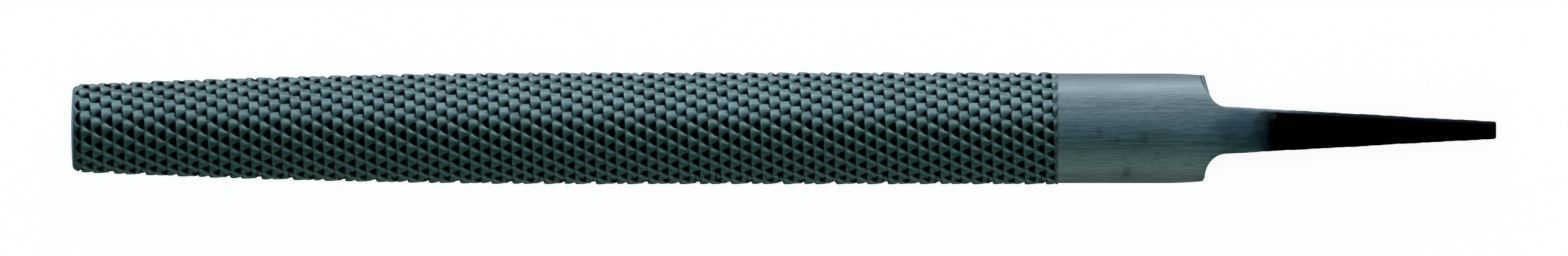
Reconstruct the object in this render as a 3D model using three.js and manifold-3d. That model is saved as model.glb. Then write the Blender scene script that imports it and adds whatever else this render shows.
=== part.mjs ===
// A half-round wood rasp: a tapered blade with single punched teeth on its round side and its flat side,
// a bare ground heel with two shoulders, and a tapered tang. Millimetres, +Z up.
// The rasp lies on its flat side. X runs along it, from the tip to the tang, and Y across it.
// The real rasp is one forging. Its three zones are separate solids that meet face to face.
import * as THREE from 'three';
import { mergeVertices } from 'three/addons/utils/BufferGeometryUtils.js';
import Module from 'manifold-3d';

const wasm = await Module();
wasm.setup();

// Blank: the blade before its teeth are punched
const toothedLength = 217.7;      // tip to the bare heel
const heelLength = 32.3;          // end of the teeth to the shoulders
const bladeWidth = 24.1;
const bladeThickness = 7;
const tipWidth = 18.7;
const tipThickness = 5.2;
const taperLength = 119;          // the blade narrows over this length, towards the tip
const taperPowerShare = 2.1;      // 2 is a parabola
const edgeLand = 0.35;            // blunt edge between the round side and the flat side
const tipBow = 0.55;              // how far the middle of the tip stands out past its corners
const tipBevel = 0.5;             // bevel round the end of the tip

// Teeth: a lattice of barbs, each with the pit that it was raised from on its tip side
const columnPitch = 2.303;        // between columns, along the blade
const rowPitch = 3.128;           // between teeth of one column, along the arc of the section
const columnDrop = 1.222;         // each column sits this much further towards -Y than the one before
const firstColumn = 1.9;          // from the tip to the first column of teeth
const lastBack = 1.9;             // from the last column of teeth to the bare heel
const firstRowOffset = 0.3;       // of the first column's middle tooth, from the crown line
const toothHeight = 0.45;
const pitDepth = 0.5;
const faceLean = 0.12;            // the crest stands this far behind the lattice line, the pit's foot before it
const toothMargin = 0.6;          // no tooth stands nearer to an edge than this
const toothFade = 0.9;            // teeth grow to their full height over this distance from an edge
const pitFade = 2.2;              // pits grow to their full depth over this distance from an edge

// Heel and shoulders
const heelEase = 0.4;             // the heel's sides draw in by this much, each, before the shoulders
const heelEaseLength = 9;
const shoulderFillet = 4.9;
const farCornerLength = 0.3;      // the slanted corner of the +Y shoulder starts this far before it
const farCornerTurn = 0.4;        // and takes this much of the turn of its fillet away, in radians
const nearCornerLength = 0.5;     // smaller corner of the -Y shoulder, along the rasp
const nearCornerDepth = 0.6;      // and across it

// Tang
const tangLength = 64.3;          // shoulder to end
const tangRootWidth = 10.35;
const tangEndWidth = 3.8;
const tangEndThickness = 3;
const tangEndRise = 1.3;          // the underside climbs this much towards the end
const tangOffset = 0.42;          // the tang sits this far towards -Y from the blade's middle line
const tangEdge = 0.45;            // chamfer along the tang's upper edges
const tangEndCorner = 0.3;        // chamfer of the two corners of its end, seen from above

// How finely curves are drawn
const arcSteps = 22;
const filletSteps = 7;
const tangCrownSteps = 8;
const cutOverrun = 2;

const bladeLength = toothedLength + heelLength;
const overallLength = bladeLength + tangLength;
const heelEnd = bladeLength + shoulderFillet;

// X of a place that is given by its distance from the tip
const fromTip = (along) => along - overallLength / 2;

// The blank's section at a distance from the tip: a segment of a circle on a thin edge land
function sectionAt(along) {
  const towardsTip = Math.max(0, 1 - along / taperLength) ** taperPowerShare;
  const halfWidth = (bladeWidth - (bladeWidth - tipWidth) * towardsTip) / 2;
  const thickness = bladeThickness - (bladeThickness - tipThickness) * towardsTip;
  const crown = thickness - edgeLand;
  const radius = (halfWidth ** 2 + crown ** 2) / (2 * crown);
  return { halfWidth, radius, centreZ: toothHeight + thickness - radius,
           reach: radius * Math.asin(halfWidth / radius) };
}

// A point of the round side: arc is its distance from the crown line along the section,
// rise its height above the blank
function roundPoint(along, arc, rise) {
  const { radius, centreZ } = sectionAt(along);
  const angle = arc / radius;
  return [fromTip(along), (radius + rise) * Math.sin(angle), centreZ + (radius + rise) * Math.cos(angle)];
}

const flatPoint = (along, across, rise) => [fromTip(along), across, toothHeight - rise];

// The two toothed sides. Each has its own way to place a point, and its reach from the middle line.
const roundSide = { place: roundPoint, reachAt: (along) => sectionAt(along).reach, turned: false };
const flatSide = { place: flatPoint, reachAt: (along) => sectionAt(along).halfWidth, turned: true };

// A growing mesh of shared points and triangles
class Skin {
  points = [];
  triangles = [];

  point(place) {
    return this.points.push(...place) / 3 - 1;
  }

  triangle(a, b, c, turned) {
    if (a === b || b === c || c === a) return;
    this.triangles.push(...(turned ? [a, c, b] : [a, b, c]));
  }

  // Fills the band between two lines of stops that run the same way across the part
  band(first, second, turned) {
    let i = 0;
    let j = 0;
    while (i < first.length - 1 || j < second.length - 1) {
      const firstGap = i < first.length - 1 ? Math.abs(first[i + 1].across - second[j].across) : Infinity;
      const secondGap = j < second.length - 1 ? Math.abs(second[j + 1].across - first[i].across) : Infinity;
      if (firstGap < secondGap) {
        this.triangle(first[i].id, second[j].id, first[i + 1].id, turned);
        i += 1;
      } else {
        this.triangle(first[i].id, second[j].id, second[j + 1].id, turned);
        j += 1;
      }
    }
  }

  geometry() {
    const geometry = new THREE.BufferGeometry();
    geometry.setAttribute('position', new THREE.Float32BufferAttribute(this.points, 3));
    geometry.setIndex(this.triangles);
    return geometry;
  }
}

// A plain line of points across one side of the blank. pull(across) moves each point along the blade.
function plainLine(skin, side, along, rise = 0, pull = () => 0) {
  const reach = side.reachAt(along);
  const line = [];
  for (let step = 0; step <= arcSteps; step += 1) {
    const across = reach * (2 * step / arcSteps - 1);
    const place = side.place(along, across, rise);
    place[0] += pull(place[1]);
    line.push({ across, id: skin.point(place) });
  }
  return line;
}

// One column of teeth as two lines that share their low points: the first goes through the feet of
// the pits, the second over the crests
function toothColumn(skin, side, index) {
  const along = firstColumn + index * columnPitch;
  const reach = side.reachAt(along);
  const drift = firstRowOffset - index * columnDrop;
  const lowest = Math.ceil((toothMargin - reach - drift) / rowPitch);
  const highest = Math.floor((reach - toothMargin - drift) / rowPitch);
  const feet = [];
  const crests = [];
  const addLowPoint = (across) => {
    const stop = { across, id: skin.point(side.place(along, across, 0)) };
    feet.push(stop);
    crests.push(stop);
  };
  addLowPoint(-reach);
  for (let row = lowest; row <= highest; row += 1) {
    const across = drift + row * rowPitch;
    const toEdge = reach - Math.abs(across);
    const depth = pitDepth * Math.min(1, toEdge / pitFade);
    const height = toothHeight * Math.min(1, toEdge / toothFade);
    if (row > lowest) addLowPoint(across - rowPitch / 2);
    feet.push({ across, id: skin.point(side.place(along - faceLean, across, -depth)) });
    crests.push({ across, id: skin.point(side.place(along + faceLean, across, height)) });
  }
  addLowPoint(reach);
  return { feet, crests };
}

// Closes a blank between the lines of its round side and of its flat side: the two end faces, and the
// thin edge land along both edges
function closeBlank(skin, round, flat) {
  skin.band(round[0], flat[0], true);
  skin.band(round.at(-1), flat.at(-1), false);
  const edgeOf = (lines, end) => lines.map((line, order) => ({ across: order, id: line.at(end).id }));
  skin.band(edgeOf(flat, 0), edgeOf(round, 0), true);
  skin.band(edgeOf(flat, -1), edgeOf(round, -1), false);
}

// The toothed blade: both sides from the tip to the heel, closed along the edges and at the ends
function toothedBlade() {
  const skin = new Skin();
  const columns = Math.floor((toothedLength - lastBack - firstColumn) / columnPitch) + 1;
  const bowRadius = (tipBow ** 2 + (tipWidth / 2) ** 2) / (2 * tipBow);
  const bow = (across) => bowRadius - Math.sqrt(bowRadius ** 2 - across ** 2);
  const [round, flat] = [roundSide, flatSide].map((side) => {
    const lines = [plainLine(skin, side, 0, side === roundSide ? -tipBevel : 0, bow),
                   plainLine(skin, side, tipBevel, 0, bow)];
    skin.band(lines[0], lines[1], side.turned);
    for (let index = 0; index < columns; index += 1) {
      const column = toothColumn(skin, side, index);
      skin.band(lines.at(-1), column.feet, side.turned);
      skin.band(column.feet, column.crests, side.turned);
      lines.push(column.crests);
    }
    const last = plainLine(skin, side, toothedLength);
    skin.band(lines.at(-1), last, side.turned);
    lines.push(last);
    return lines;
  });
  closeBlank(skin, round, flat);
  return skin.geometry();
}

// A solid for cutting and joining, from a closed geometry
function solidFrom(geometry) {
  const bare = geometry.clone();
  bare.deleteAttribute('normal');
  bare.deleteAttribute('uv');
  const merged = mergeVertices(bare);
  return new wasm.Manifold(new wasm.Mesh({ numProp: 3, vertProperties: merged.attributes.position.array,
                                           triVerts: new Uint32Array(merged.index.array) }));
}

function geometryFrom(solid) {
  const { numProp, vertProperties, triVerts } = solid.getMesh();
  const positions = new Float32Array(vertProperties.length / numProp * 3);
  for (let vertex = 0; vertex < positions.length / 3; vertex += 1) {
    for (let axis = 0; axis < 3; axis += 1) {
      positions[3 * vertex + axis] = vertProperties[numProp * vertex + axis];
    }
  }
  const geometry = new THREE.BufferGeometry();
  geometry.setAttribute('position', new THREE.BufferAttribute(positions, 3));
  geometry.setIndex([...triVerts]);
  return geometry;
}

// The blank's full section as a bar from one distance from the tip to another
function halfRoundBar(start, end) {
  const skin = new Skin();
  const [round, flat] = [roundSide, flatSide].map((side) => {
    const lines = [start, end].map((along) => plainLine(skin, side, along));
    skin.band(lines[0], lines[1], side.turned);
    return lines;
  });
  closeBlank(skin, round, flat);
  return skin.geometry();
}

// The tang's size at a distance from the tip: it tapers evenly from the heel to its end
function tangAt(along) {
  const share = (along - heelEnd) / (overallLength - heelEnd);
  return { halfWidth: (tangRootWidth + (tangEndWidth - tangRootWidth) * share) / 2,
           thickness: bladeThickness + (tangEndThickness - bladeThickness) * share,
           base: toothHeight + tangEndRise * share };
}

// The heel's outline seen from above, from the teeth round both shoulders to the tang
function heelOutline() {
  const halfWidth = bladeWidth / 2;
  const eased = halfWidth - heelEase;
  const root = tangAt(heelEnd).halfWidth;
  const start = fromTip(toothedLength);
  const end = fromTip(heelEnd);
  const easeStart = fromTip(bladeLength - heelEaseLength);
  const shoulder = fromTip(bladeLength);
  const farRoot = root - tangOffset;
  const nearRoot = -root - tangOffset;
  const outline = new THREE.Shape();
  outline.moveTo(start, -halfWidth - cutOverrun);
  outline.lineTo(easeStart, -halfWidth - cutOverrun);
  outline.lineTo(easeStart, -halfWidth);
  outline.lineTo(shoulder - nearCornerLength, -eased);
  outline.lineTo(shoulder, -eased + nearCornerDepth);
  outline.absarc(end, nearRoot - shoulderFillet, shoulderFillet, Math.PI, Math.PI / 2, true);
  outline.lineTo(end, farRoot);
  outline.absarc(end, farRoot + shoulderFillet, shoulderFillet, -Math.PI / 2, farCornerTurn - Math.PI, true);
  outline.lineTo(shoulder - farCornerLength, eased);
  outline.lineTo(easeStart, halfWidth);
  outline.lineTo(easeStart, halfWidth + cutOverrun);
  outline.lineTo(start, halfWidth + cutOverrun);
  return outline;
}

// The bare heel: the half-round bar, trimmed to its outline
function heel() {
  const height = bladeThickness + 2 * cutOverrun;
  const trim = new THREE.ExtrudeGeometry(heelOutline(), { depth: height, bevelEnabled: false,
                                                          curveSegments: filletSteps });
  trim.translate(0, 0, toothHeight - cutOverrun);
  const bar = solidFrom(halfRoundBar(toothedLength, heelEnd));
  return geometryFrom(bar.intersect(solidFrom(trim)));
}

// One section of the tang: a flat underside, upright sides and the blade's own crown on top.
// drawIn narrows it, for the chamfered corners of the end.
function tangRing(skin, along, drawIn) {
  const { radius } = sectionAt(bladeLength);
  const { halfWidth, thickness, base } = tangAt(along);
  const sides = [halfWidth - drawIn - tangOffset, drawIn - halfWidth - tangOffset];
  const [farEdge, nearEdge] = [sides[0] - tangEdge, sides[1] + tangEdge];
  const crownAt = (across) => base + thickness - radius + Math.sqrt(radius ** 2 - across ** 2);
  const corners = [[sides[0], base], [sides[0], crownAt(farEdge) - tangEdge]];
  for (let step = 0; step <= tangCrownSteps; step += 1) {
    const across = farEdge + (nearEdge - farEdge) * step / tangCrownSteps;
    corners.push([across, crownAt(across)]);
  }
  corners.push([sides[1], crownAt(nearEdge) - tangEdge], [sides[1], base]);
  return corners.map(([across, height], order) => (
    { across: order, id: skin.point([fromTip(along), across, height]) }));
}

function tang() {
  const skin = new Skin();
  const rings = [tangRing(skin, heelEnd, 0),
                 tangRing(skin, overallLength - tangEndCorner, 0),
                 tangRing(skin, overallLength, tangEndCorner)];
  rings.slice(1).forEach((ring, order) => {
    skin.band([...rings[order], rings[order][0]], [...ring, ring[0]], true);
  });
  for (const [ring, turned] of [[rings[0], true], [rings.at(-1), false]]) {
    for (let corner = 1; corner < ring.length - 1; corner += 1) {
      skin.triangle(ring[0].id, ring[corner].id, ring[corner + 1].id, turned);
    }
  }
  return skin.geometry();
}

// Colours of the steel: teal-grey on the ground blade, black scale on the tang
const toothedSteel = new THREE.MeshStandardMaterial({ color: 0x5f7a80, roughness: 0.42, metalness: 0.9,
                                                      flatShading: true });
const groundSteel = new THREE.MeshStandardMaterial({ color: 0x7d939a, roughness: 0.34, metalness: 0.95,
                                                     flatShading: true });
const scaleSteel = new THREE.MeshStandardMaterial({ color: 0x0b0c0d, roughness: 0.7, metalness: 0.4,
                                                    flatShading: true });

const rasp = new THREE.Group();
for (const [name, geometry, material] of [['toothed_blade', toothedBlade(), toothedSteel],
                                          ['heel', heel(), groundSteel],
                                          ['tang', tang(), scaleSteel]]) {
  const mesh = new THREE.Mesh(geometry, material);
  mesh.name = name;
  rasp.add(mesh);
}

export default rasp;
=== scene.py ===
"""The looks of a half-round wood rasp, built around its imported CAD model.

The file is laid out as an add-on and run as a script. Metres. X runs along the rasp from its tip to
its tang, Y across it, and Z up out of its round side.
"""

import bpy
import numpy as np
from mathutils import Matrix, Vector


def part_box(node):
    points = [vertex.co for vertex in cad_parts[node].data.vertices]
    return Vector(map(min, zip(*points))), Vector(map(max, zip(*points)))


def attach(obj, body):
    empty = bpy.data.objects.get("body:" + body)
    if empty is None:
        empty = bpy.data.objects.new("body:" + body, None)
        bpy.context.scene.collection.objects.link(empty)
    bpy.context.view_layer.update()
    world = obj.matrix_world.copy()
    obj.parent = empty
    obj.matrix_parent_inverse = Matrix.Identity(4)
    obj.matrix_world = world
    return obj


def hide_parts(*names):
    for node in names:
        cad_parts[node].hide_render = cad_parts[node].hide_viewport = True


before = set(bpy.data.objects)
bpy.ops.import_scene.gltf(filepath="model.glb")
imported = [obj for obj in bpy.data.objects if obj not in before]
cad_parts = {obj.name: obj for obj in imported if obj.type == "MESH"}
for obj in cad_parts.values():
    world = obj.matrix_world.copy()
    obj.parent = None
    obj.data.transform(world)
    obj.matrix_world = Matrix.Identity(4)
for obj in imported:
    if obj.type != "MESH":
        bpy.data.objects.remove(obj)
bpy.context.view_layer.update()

bl_info = {
    "name": "Half-Round Rasp",
    "version": (1, 0, 0),
    "blender": (4, 5, 0),
    "location": "View3D > Sidebar > Rasp",
    "description": "Builds a half-round wood rasp with punched teeth, a ground heel and a black tang",
    "category": "Add Mesh",
}

BLADE_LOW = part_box("toothed_blade")[0]
HEEL_LOW, HEEL_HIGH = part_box("heel")
TANG_LOW, TANG_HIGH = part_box("tang")

MM = 0.001
HALF_WAY = 0.5

# Places and sizes that follow from the frame
TIP_X = BLADE_LOW[0]
HEEL_X = HEEL_LOW[0]
TANG_X = TANG_LOW[0]
END_X = TANG_HIGH[0]
FLAT_Z = HEEL_LOW[2]
THICKNESS = HEEL_HIGH[2] - FLAT_Z
HALF_WIDTH = HEEL_HIGH[1]
TOOTHED_LENGTH = HEEL_X - TIP_X

# The photograph's frame: its size, how many of its pixels make a metre, and the frame's origin in it
PHOTO_WIDTH_PX = 2576
PHOTO_HEIGHT_PX = 420
PX_PER_METRE = 7448
ORIGIN_PX = (1287.5, 210.5)


def photo_x(pixel):
    """The X of a column of the photograph."""
    return (pixel - ORIGIN_PX[0]) / PX_PER_METRE


def photo_y(pixel):
    """The Y of a row of the photograph."""
    return (ORIGIN_PX[1] - pixel) / PX_PER_METRE


# Sizes and colours that a user would change

def length(name, description, default):
    """A size in metres, kept positive."""
    return bpy.props.FloatProperty(name=name, description=description, default=default, min=0,
                                   unit="LENGTH", precision=5)


def signed_length(name, description, default):
    """A size in metres that may be negative."""
    return bpy.props.FloatProperty(name=name, description=description, default=default, unit="LENGTH",
                                   precision=5)


def share(name, description, default, low=0.0, high=1.0):
    """A plain number: a share, a slope, a power or a level."""
    return bpy.props.FloatProperty(name=name, description=description, default=default, min=low,
                                   max=high, subtype="FACTOR")


def turn(name, description, default):
    """An angle in radians, which the panel shows in degrees."""
    return bpy.props.FloatProperty(name=name, description=description, default=default,
                                   subtype="ANGLE")


def colour(name, description, default):
    """A colour in linear light."""
    return bpy.props.FloatVectorProperty(name=name, description=description, default=default, size=3,
                                         min=0, max=1, subtype="COLOR")


class RaspBlank(bpy.types.PropertyGroup):
    """The blade before its teeth are punched."""
    tip_width: length("Tip Width", "Width of the blade at its tip", 18.7 * MM)
    tip_thickness: length("Tip Thickness", "Thickness of the blade at its tip", 5.2 * MM)
    taper_length: length("Taper Length", "The blade narrows over this length towards the tip", 119 * MM)
    taper_power: share("Taper Power", "2 makes the taper a parabola", 2.1, 1, 4)
    edge_land: length("Edge Land", "Blunt edge between the round and the flat side", 0.35 * MM)
    tip_bow: length("Tip Bow", "How far the tip's middle stands out past its corners", 0.35 * MM)
    tip_corner: length("Tip Corner", "Rounding of the tip's two corners", 0.6 * MM)
    tip_bevel: length("Tip Bevel", "How deep the bevel round the end of the tip is", 0.45 * MM)


class RaspTeeth(bpy.types.PropertyGroup):
    """The lattice of punched teeth and the shape of one tooth."""
    column_pitch: length("Column Pitch", "Between columns, along the blade", 2.303 * MM)
    row_pitch: length("Row Pitch", "Between teeth of one column, along the section", 3.128 * MM)
    column_drop: length("Column Drop", "Each column sits this much further to -Y", 1.222 * MM)
    column_slant: share("Column Slant", "How far a column leans to the tang, going to -Y", 0.0435, -1, 1)
    column_bow: length("Column Bow", "How far a column's ends stand nearer to the tang", 0.08 * MM)
    first_column: length("First Column", "From the tip to the first column", 2.42 * MM)
    row_offset: signed_length("Row Offset", "From the crown line to the first column's middle tooth",
                              -1.25 * MM)
    swell: length("Swell", "How far punching has raised the round side above the blank", 0.32 * MM)
    height: length("Tooth Height", "Of a crest above the swollen side", 0.5 * MM)
    width: length("Tooth Width", "From the middle of a tooth to its foot, along its crest", 1.32 * MM)
    crest_bow: length("Crest Bow", "How far the ends of a crest stand behind its middle", 0.32 * MM)
    back_length: length("Back Length", "From a crest to the foot of the tooth's rounded back", 2.2 * MM)
    lean: length("Face Lean", "How far a crest stands behind the foot of its face", 0.36 * MM)
    pit_depth: length("Pit Depth", "Of a pit below the swollen side", 1.15 * MM)
    pit_length: length("Pit Length", "From a pit's rounded end to the foot of the face", 1.32 * MM)
    pit_width: length("Pit Width", "From a pit's middle to its side, at the face", 1.08 * MM)
    wedge_length: length("Wedge Length", "Length of a pit on the +Y side, where it is a wedge", 1.9 * MM)
    wedge_rise: length("Wedge Rise", "Width of that wedge at the face", 1.1 * MM)
    wedge_floor: length("Wedge Floor", "How far its lower side lies below the tooth's middle", 0.25 * MM)
    lower_ease: length("Lower Ease", "How far outside the pit its wall towards -Y starts", 0.22 * MM)
    upper_ease: length("Upper Ease", "How far outside the pit its wall towards +Y starts", 0.45 * MM)
    lower_round: length("Lower Rounding", "Radius at the top of the wall towards -Y", 0.2 * MM)
    upper_round: length("Upper Rounding", "Radius at the top of the wall towards +Y", 0.65 * MM)
    wall_slope: share("Wall Slope", "Of the pit's walls, as a rise per run", 2.0, 0, 4)
    unevenness: length("Unevenness", "How far a tooth stands out of its place", 0.07 * MM)
    size_unevenness: share("Size Unevenness", "How much the teeth differ in height and depth", 0.17)
    seed: bpy.props.IntProperty(name="Seed", description="Which uneven set of teeth", default=7, min=0)


class RaspHeel(bpy.types.PropertyGroup):
    """The bare heel and its shoulders."""
    ease: length("Side Ease", "How far the sides draw in before the shoulders", 0.4 * MM)
    ease_length: length("Ease Length", "Over this length", 9 * MM)
    shoulder_length: length("Shoulder Length", "From a shoulder to the tang, along the rasp", 4.9 * MM)
    near_fillet: length("Near Fillet", "How far the near shoulder's fillet reaches across", 5.4 * MM)
    far_fillet: length("Far Fillet", "How far the far shoulder's fillet reaches across", 4.43 * MM)
    far_length: length("Far Length", "How far it reaches along the rasp", 4.1 * MM)
    far_corner: length("Far Corner", "The slanted corner starts this far before the shoulder", 0.1 * MM)
    far_turn: turn("Far Turn", "Turn that the slanted corner takes from its fillet", 0.31)
    far_bevel: length("Far Bevel", "Width of the bevel on the slanted corner, at its top", 1.05 * MM)
    bevel_slope: share("Bevel Slope", "How far the bevel drops across its width", 0.35)
    near_corner: length("Near Corner", "The near shoulder's corner, along the rasp", 0.45 * MM)
    near_depth: length("Near Depth", "The near shoulder's corner, across the rasp", 0.8 * MM)
    rounding: length("Rounding", "Rounding of the upper edges", 0.16 * MM)


class RaspTang(bpy.types.PropertyGroup):
    """The tapered tang."""
    end_width: length("End Width", "Width at the end", 3.8 * MM)
    end_thickness: length("End Thickness", "Thickness at the end", 3 * MM)
    end_rise: length("End Rise", "How far the underside climbs towards the end", 1.3 * MM)
    end_corner: length("End Corner", "The two slanted corners at the end", 0.3 * MM)
    rounding: length("Rounding", "Rounding of the upper edges", 0.45 * MM)
    unevenness: length("Unevenness", "How far the forged sides wander", 0.07 * MM)
    burr: length("Burr", "Stub that shearing left on the end", 0.28 * MM)
    seed: bpy.props.IntProperty(name="Seed", description="Which uneven sides", default=11, min=0)


class RaspFinish(bpy.types.PropertyGroup):
    """Colours of the steel, with the painted shade and highlights of the teeth."""
    ground: colour("Ground Steel", "Bare steel of the heel", (0.205, 0.27, 0.30))
    tooth: colour("Tooth Steel", "Steel on the backs of the teeth", (0.215, 0.337, 0.368))
    # Painted shade: the teeth's colour towards -Y, the side turned away from the light
    shaded_teeth: colour("Shaded Teeth", "Steel of the teeth under old oil, on the -Y side", (0.075, 0.162, 0.14))
    # Partly real wear and partly painted highlight: the crests take this colour, and so do the painted
    # highlights on the ridges, gaps and rims
    worn: colour("Worn Steel", "Steel on the rubbed crests and rims", (0.35, 0.52, 0.52))
    # Painted shade: the pits, the faces and the ground outside the pits' walls are painted with this black,
    # and the teeth towards the tip with a share of it; the bevel's dark lines on the heel take it too
    pit: colour("Pit", "Steel at the bottom of the pits", (0.004, 0.02, 0.024))
    root: colour("Root Tint", "What heat leaves of the steel's colour at the tang's root",
                 (0.3, 0.43, 0.5))
    end: colour("Tip End", "Bluish steel on the bevel round the end of the tip", (0.28, 0.5, 0.72))
    scale: colour("Forge Scale", "Black scale on the tang", (0.0, 0.0, 0.0))


class RaspStage(bpy.types.PropertyGroup):
    """Light and floor."""
    key_level: share("Key Level", "Brightness of the long soft lamp beyond the rasp", 1.75, 0, 4)
    fill_level: share("Fill Level", "Brightness of the broad lamp over the floor", 2.6, 0, 4)
    far_air: colour("Far Light", "The room's light from beyond the rasp", (0.85, 0.87, 0.88))
    upper_air: colour("Upper Light", "The room's light from high beyond the rasp", (0.79, 0.88, 0.93))
    high_air: colour("High Light", "The room's light from overhead", (0.33, 0.51, 0.59))
    low_air: colour("Low Light", "The room's light from high up in front of the rasp",
                    (0.035, 0.115, 0.11))
    near_air: colour("Near Light", "The room's light from low down in front of the rasp",
                     (0.46, 0.62, 0.53))
    end_dimming: share("End Dimming", "How much darker the room is past the tip and the tang", 0.7)
    floor: colour("Floor", "Colour of the floor", (0.86, 0.86, 0.86))
    white_share: share("White Share", "How much of the floor is plain white to the camera", 0.9)
    far_floor: share("Far Floor", "Brightness in the steel of the floor beyond the rasp", 0.75)
    near_floor: share("Near Floor", "Brightness in the steel of the floor in front of the rasp", 0.26)


# Meshes

# Edges that turn by more than this many degrees stay sharp, on the mesh that stands for each CAD node
SHARP_DEGREES = {"toothed_blade": 50, "heel": 35, "tang": 40}


def place_object(name, data):
    """Puts a new object into the scene."""
    made = bpy.data.objects.new(name, data)
    bpy.context.scene.collection.objects.link(made)
    return made


class Shell:
    """A growing mesh of points and faces, with two values at each point for the materials."""

    def __init__(self):
        self.points = []
        self.values = []
        self.faces = []
        self.count = 0

    def line(self, places, first=None, second=None):
        """Adds a line of points. Returns their numbers."""
        blank = np.zeros(len(places))
        self.points.append(places)
        self.values.append(np.stack([blank if first is None else first,
                                     blank if second is None else second], axis=-1))
        self.count += len(places)
        return np.arange(self.count - len(places), self.count)

    def band(self, first, first_at, second, second_at, turned):
        """Fills the band between two lines of points that run the same way. first_at and second_at say
        how far along its line each point is."""
        first, second = first.tolist(), second.tolist()
        first_at, second_at = list(first_at) + [np.inf], list(second_at) + [np.inf]
        i = j = 0
        last_i, last_j = len(first) - 1, len(second) - 1
        while i < last_i or j < last_j:
            ahead_first = abs(first_at[i + 1] - second_at[j]) if i < last_i else np.inf
            ahead_second = abs(second_at[j + 1] - first_at[i]) if j < last_j else np.inf
            if ahead_first < ahead_second:
                face = (first[i], second[j], first[i + 1])
                i += 1
            else:
                face = (first[i], second[j], second[j + 1])
                j += 1
            self.faces.append(face[::-1] if turned else face)

    def piece(self, name, node_name, slot, material, value_names):
        """Makes the object, which stands for a CAD node and rides on the one body."""
        mesh = bpy.data.meshes.new(name)
        mesh.from_pydata(np.concatenate(self.points), [], self.faces, shade_flat=False)
        values = np.concatenate(self.values)
        for order, value_name in enumerate(value_names):
            stored = mesh.attributes.new(value_name, "FLOAT", "POINT")
            stored.data.foreach_set("value", values[:, order].astype(np.float32))
        mesh.set_sharp_from_angle(angle=np.radians(SHARP_DEGREES[node_name]))
        mesh.materials.append(material)
        piece = place_object(name, mesh)
        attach(piece, "root")
        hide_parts(node_name)


def mixed(first, second, part):
    """The value that lies a part of the way from the first to the second."""
    return first + (second - first) * part


def section_at(along, blank):
    """Half width, radius, height of the centre and reach along the arc of the blank's section, at
    distances from the tip."""
    towards_tip = np.clip(1 - along / blank.taper_length, 0, None) ** blank.taper_power
    half_width = HALF_WIDTH - (HALF_WIDTH - blank.tip_width / 2) * towards_tip
    thickness = THICKNESS - (THICKNESS - blank.tip_thickness) * towards_tip
    crown = thickness - blank.edge_land
    radius = (half_width ** 2 + crown ** 2) / (2 * crown)
    return half_width, radius, FLAT_Z + thickness - radius, radius * np.arcsin(half_width / radius)


# Where lines of points run between one crest and the foot of the next face, as shares of that distance,
# on the round side, on the flat side and between the tip and the first face
ROUND_LINE_SHARES = (0.0, 0.12, 0.32, 0.5, 0.68, 0.86, 1.0)
FLAT_LINE_SHARES = (0.0, 0.35, 0.65, 1.0)
TIP_LINE_SHARES = (0.0, 0.27, 0.5, 0.65, 0.8, 1.0)
# Two more lines climb each face of the round side, at these shares of the way up
FACE_LINE_SHARES = (0.15, 0.85)
# How many points of a line there are to each tooth, and how much of their spacing stays free at the edge
ROUND_SAMPLES_PER_ROW = 11
FLAT_SAMPLES_PER_ROW = 5
EDGE_CLEARANCE_SHARE = 0.4

# The lattice is drawn for an arc as long as this many half widths, and for some rows more
ARC_IN_HALF_WIDTHS = 2.6
SPARE_ROWS = 4
# The least and the most that a crest may shine
CREST_SHINES = (0.5, 1.2)

# How far the columns of teeth have wandered towards the tang, and the rows away from the crown line and
# towards +Y, at distances from the tip
WANDER_AT = np.array([0, 12, 28, 38, 52, 75, 110, 135, 158, 182, 198, 214]) * MM
COLUMN_WANDER = np.array([-0.36, -0.12, 0.05, 0.12, 0.08, 0.06, 0.08, -0.02, -0.1, -0.02, 0.09, 0.28]) * MM
ROW_SPREAD = np.array([0.3, 0.24, 0.17, 0.12, 0.05, 0, 0, 0, 0, 0, 0, 0]) * MM
ROW_WANDER = np.array([0.03, 0.05, 0.04, 0.04, 0.01, -0.01, 0.02, 0, -0.04, -0.13, -0.29, -0.42]) * MM
# The rows spread from nothing at the crown line to the full amount here
SPREAD_REACH = 4 * MM
# Within this distance of an edge points are moved across less and less
ROW_FADE = 1 * MM
# Up to this share of the way from the tip to the first faces, lines of points keep their places
TIP_HELD_SHARE = 0.3


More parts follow.
